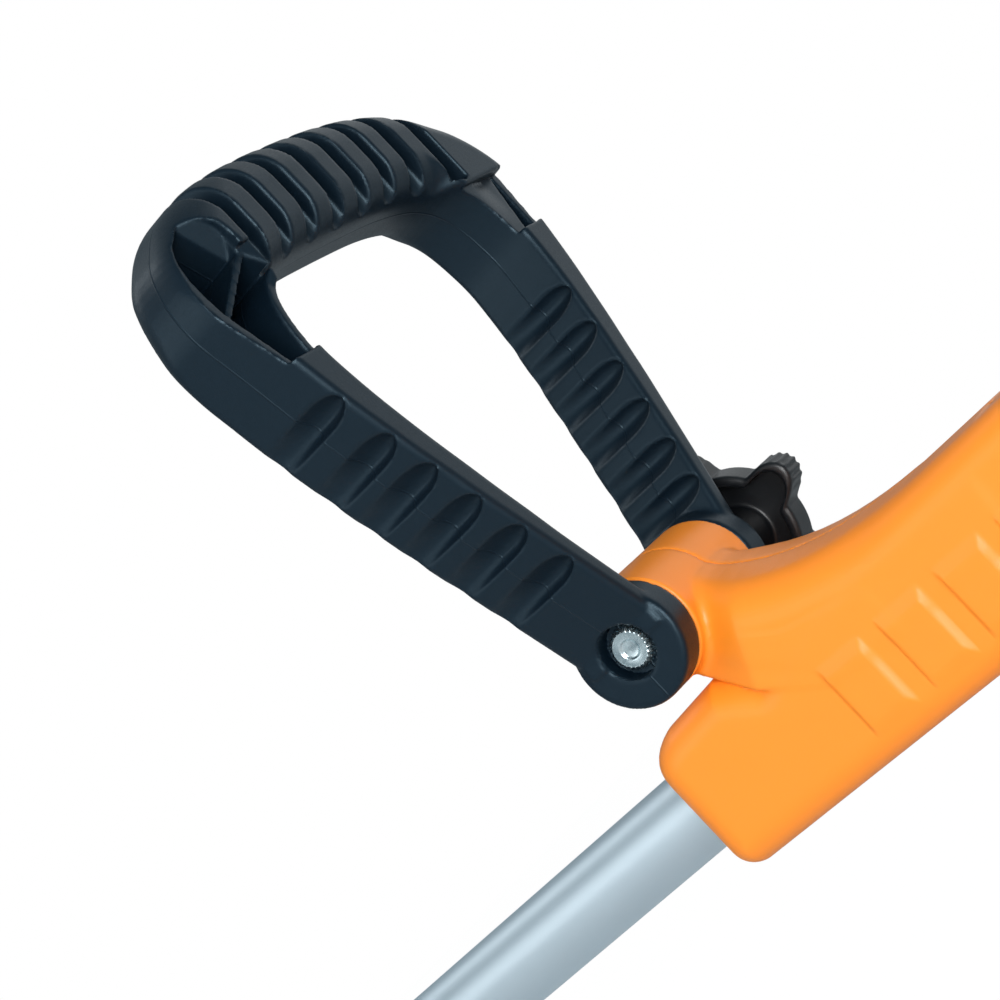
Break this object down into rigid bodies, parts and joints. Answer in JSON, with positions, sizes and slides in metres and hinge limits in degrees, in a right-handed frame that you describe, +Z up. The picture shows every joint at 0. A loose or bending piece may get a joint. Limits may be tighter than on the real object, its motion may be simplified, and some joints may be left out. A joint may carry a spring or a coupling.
{
  "type": "string trimmer",
  "caption": "Corded string trimmer: rear motor, trigger grip, straight aluminium shaft, tilting loop handle, bevel gear head, debris guard and bump-feed line head.",
  "frame": {"origin": "bottom centre of the box round the whole trimmer as it lies on a floor, on its guard's rear edge and its rear foot", "axes": "+X runs from the cutting head to the motor, +Z up, +Y to the side with the wing knob"},
  "size_m": [1.785, 0.3232, 0.3286],
  "materials": {
    "orange_housing": "semi-gloss moulded",
    "black_nylon": "fine spark-eroded grain",
    "grey_plastic": "moulded",
    "shaft_aluminium": "satin anodised",
    "cast_aluminium": "as cast, blasted",
    "steel": "zinc plated",
    "chrome_bolt": "polished",
    "motor_laminations": "stacked sheet, varnished",
    "copper": "turned copper",
    "brass": "turned",
    "carbon": "pressed carbon",
    "nylon_line": "drawn monofilament"
  },
  "bodies": {
    "frame": {"housing_left": "orange_housing", "housing_right": "orange_housing", "housing_screw_1": "steel", "housing_screw_2": "steel", "housing_screw_3": "steel", "housing_screw_4": "steel", "housing_screw_5": "steel", "vent_grille_left": "black_nylon", "vent_grille_right": "black_nylon", "motor_end_cap": "black_nylon", "stator": "motor_laminations", "brush_holder_upper": "brass", "brush_holder_lower": "brass", "carbon_brush_upper": "carbon", "carbon_brush_lower": "carbon", "front_motor_bearing": "steel", "rear_motor_bearing": "steel", "power_inlet": "black_nylon", "switch_block": "grey_plastic", "trigger_pin": "steel", "trigger_spring": "steel", "lock_spring": "steel", "shaft_tube": "shaft_aluminium", "shaft_bush_front": "grey_plastic", "shaft_bush_middle": "grey_plastic", "shaft_bush_rear": "grey_plastic", "gear_case": "cast_aluminium", "gear_case_cap": "cast_aluminium", "clamp_screw": "steel", "input_bearing": "steel", "output_bearing": "steel", "guard": "black_nylon", "guard_screw_left": "steel", "guard_screw_right": "steel", "line_cutter": "steel"},
    "front_handle": {"loop_handle": "black_nylon", "pivot_bolt": "chrome_bolt"},
    "wing_knob": {"wing_knob": "black_nylon", "knob_nut": "steel"},
    "trigger": {"trigger": "black_nylon"},
    "lock_button": {"lock_button": "black_nylon"},
    "drive_line": {"motor_shaft": "steel", "armature": "motor_laminations", "commutator": "copper", "cooling_fan": "grey_plastic", "shaft_coupling": "steel", "drive_shaft": "steel", "pinion_gear": "steel"},
    "cutting_head": {"output_spindle": "steel", "crown_gear": "steel", "head_housing": "black_nylon", "head_cover": "black_nylon", "eyelet_left": "brass", "eyelet_right": "brass", "cutting_line_left": "nylon_line", "cutting_line_right": "nylon_line", "bump_spring": "steel"},
    "bump_feed": {"spool": "black_nylon", "wound_line": "nylon_line", "bump_knob": "black_nylon"}
  },
  "joints": [
    {"name": "loop_handle_tilt", "type": "hinge", "parent": "frame", "child": "front_handle", "pos_m": [0.43149, 0, 0.15618], "axis": [0, 1, 0], "range_deg": [-70, 60]},
    {"name": "wing_knob_turn", "type": "hinge", "parent": "front_handle", "child": "wing_knob", "pos_m": [0.43149, 0.057, 0.15618], "axis": [0, 1, 0], "continuous": true},
    {"name": "trigger_pull", "type": "hinge", "parent": "frame", "child": "trigger", "pos_m": [0.60029, 0, 0.08943], "axis": [0, -1, 0], "range_deg": [0, 8], "stiffness_Nm_per_rad": 1.2, "springref_deg": -6.88, "deforming": ["trigger_spring"]},
    {"name": "lock_button_press", "type": "slide", "parent": "frame", "child": "lock_button", "axis": [-0.0513, 0, -0.9987], "range_m": [0, 0.0035], "stiffness_N_per_m": 500, "springref_m": -0.002, "deforming": ["lock_spring"]},
    {"name": "drive_line_spin", "type": "hinge", "parent": "frame", "child": "drive_line", "pos_m": [0.7586, 0, 0.09132], "axis": [0.9987, 0, -0.0513], "continuous": true},
    {"name": "cutting_head_spin", "type": "hinge", "parent": "frame", "child": "cutting_head", "pos_m": [-0.79935, 0, 0.1713], "axis": [0.5727, 0, 0.8198], "continuous": true},
    {"name": "bump_knob_press", "type": "slide", "parent": "cutting_head", "child": "bump_feed", "axis": [0.5727, 0, 0.8198], "range_m": [0, 0.006], "stiffness_N_per_m": 900, "springref_m": -0.004, "deforming": ["bump_spring"]}
  ],
  "couplings": [
    {"joint": "cutting_head_spin", "follows": "drive_line_spin", "ratio": -0.70588}
  ]
}
